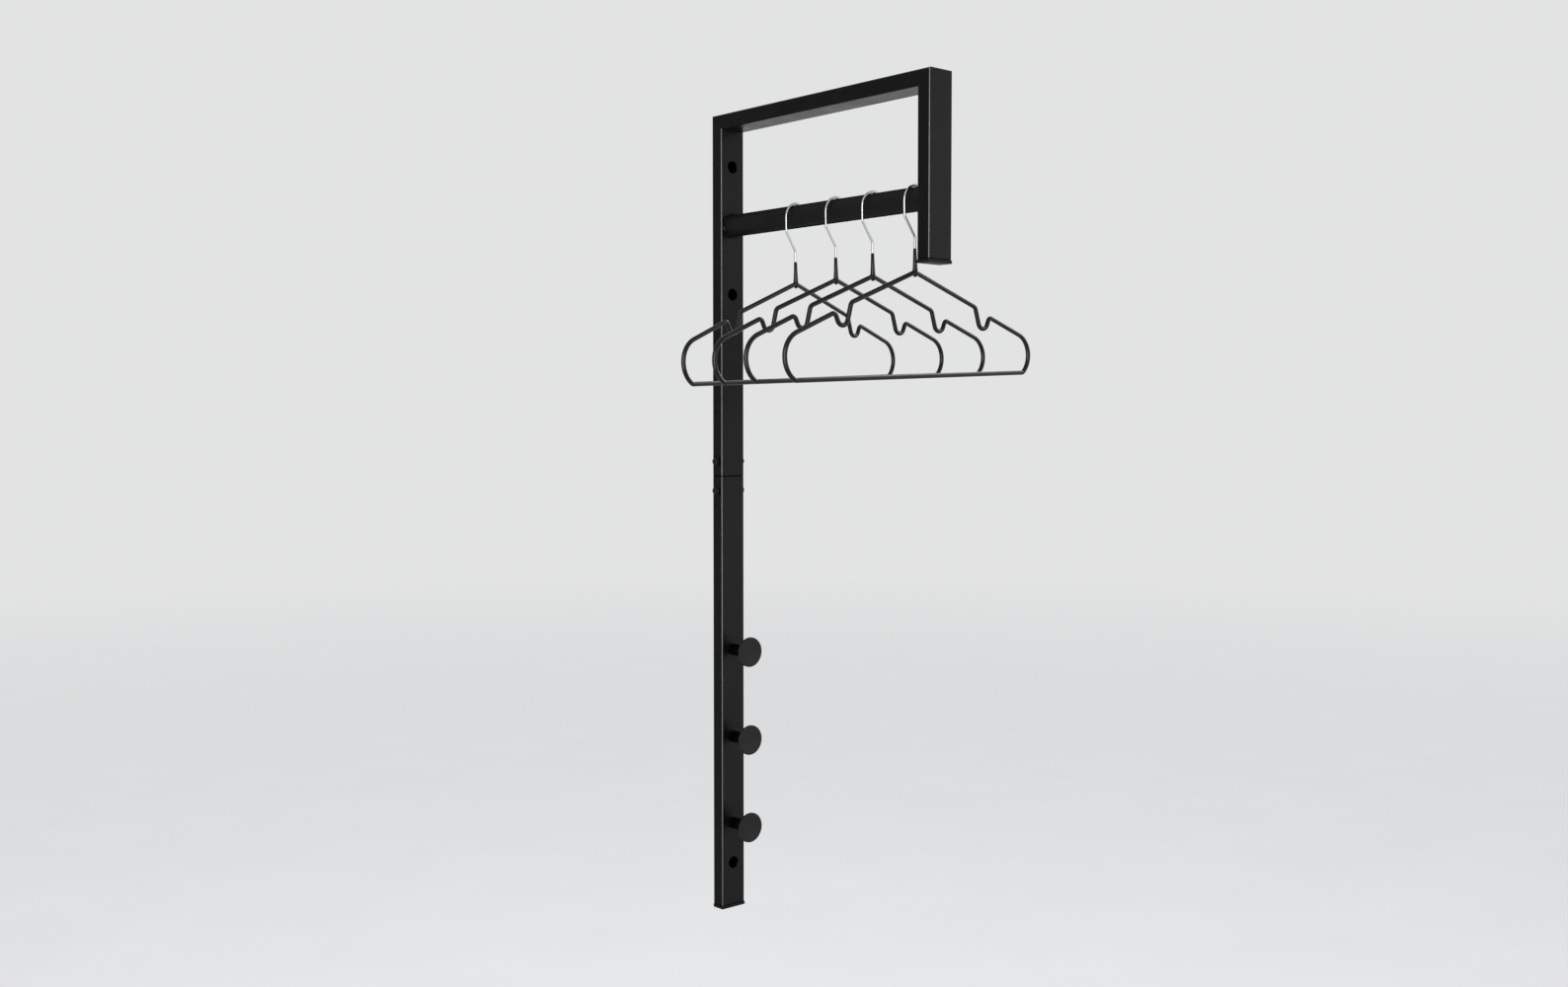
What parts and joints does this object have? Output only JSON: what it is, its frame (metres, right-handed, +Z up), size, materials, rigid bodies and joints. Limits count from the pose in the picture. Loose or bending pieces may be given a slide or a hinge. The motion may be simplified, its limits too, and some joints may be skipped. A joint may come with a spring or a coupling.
{
  "type": "wall coat rack",
  "caption": "Black steel wall coat rack: flat post with overhanging arm, round hanging rail and disc knobs, with coated wire hangers that slide along the rail.",
  "frame": {"origin": "on the wall plane, at the middle of the post's back face, half way up the post", "axes": "+X right along the wall, +Y into the wall, +Z up"},
  "size_m": [0.4317, 0.4088, 1.101],
  "materials": {
    "satin_coat": "satin black powder coat on steel",
    "gloss_coat": "smoother, glossier black coat on steel",
    "black_plastic": "moulded black plastic",
    "zinc_steel": "zinc plated steel, hidden inside",
    "black_screw": "blackened steel",
    "wire_coating": "glossy black dipped coating on steel wire",
    "chrome": "bright chrome plated wire"
  },
  "bodies": {
    "rack": {"upper_post": "satin_coat", "lower_post": "satin_coat", "top_arm": "satin_coat", "drop_leg": "satin_coat", "knob_disc_1": "satin_coat", "knob_disc_2": "satin_coat", "knob_disc_3": "satin_coat", "hanging_rail": "gloss_coat", "knob_stem_1": "gloss_coat", "knob_stem_2": "gloss_coat", "knob_stem_3": "gloss_coat", "post_end_cap": "black_plastic", "leg_end_cap": "black_plastic", "joint_sleeve": "zinc_steel", "knob_stud_1": "zinc_steel", "rivet_nut_1": "zinc_steel", "knob_stud_2": "zinc_steel", "rivet_nut_2": "zinc_steel", "knob_stud_3": "zinc_steel", "rivet_nut_3": "zinc_steel", "joint_screw_left_upper": "black_screw", "joint_screw_left_lower": "black_screw", "joint_screw_right_upper": "black_screw", "joint_screw_right_lower": "black_screw"},
    "hanger_1": {"hanger_1_hook": "chrome", "hanger_1_frame": "wire_coating"},
    "hanger_2": {"hanger_2_hook": "chrome", "hanger_2_frame": "wire_coating"},
    "hanger_3": {"hanger_3_hook": "chrome", "hanger_3_frame": "wire_coating"},
    "hanger_4": {"hanger_4_hook": "chrome", "hanger_4_frame": "wire_coating"}
  },
  "joints": [
    {"name": "hanger_1_slide", "type": "slide", "parent": "rack", "child": "hanger_1", "axis": [0, -1, 0], "range_m": [-0.1169, 0.0268]},
    {"name": "hanger_2_slide", "type": "slide", "parent": "rack", "child": "hanger_2", "axis": [0, -1, 0], "range_m": [-0.0268, 0.0253]},
    {"name": "hanger_3_slide", "type": "slide", "parent": "rack", "child": "hanger_3", "axis": [0, -1, 0], "range_m": [-0.0253, 0.0296]},
    {"name": "hanger_4_slide", "type": "slide", "parent": "rack", "child": "hanger_4", "axis": [0, -1, 0], "range_m": [-0.0296, 0.0147]}
  ]
}
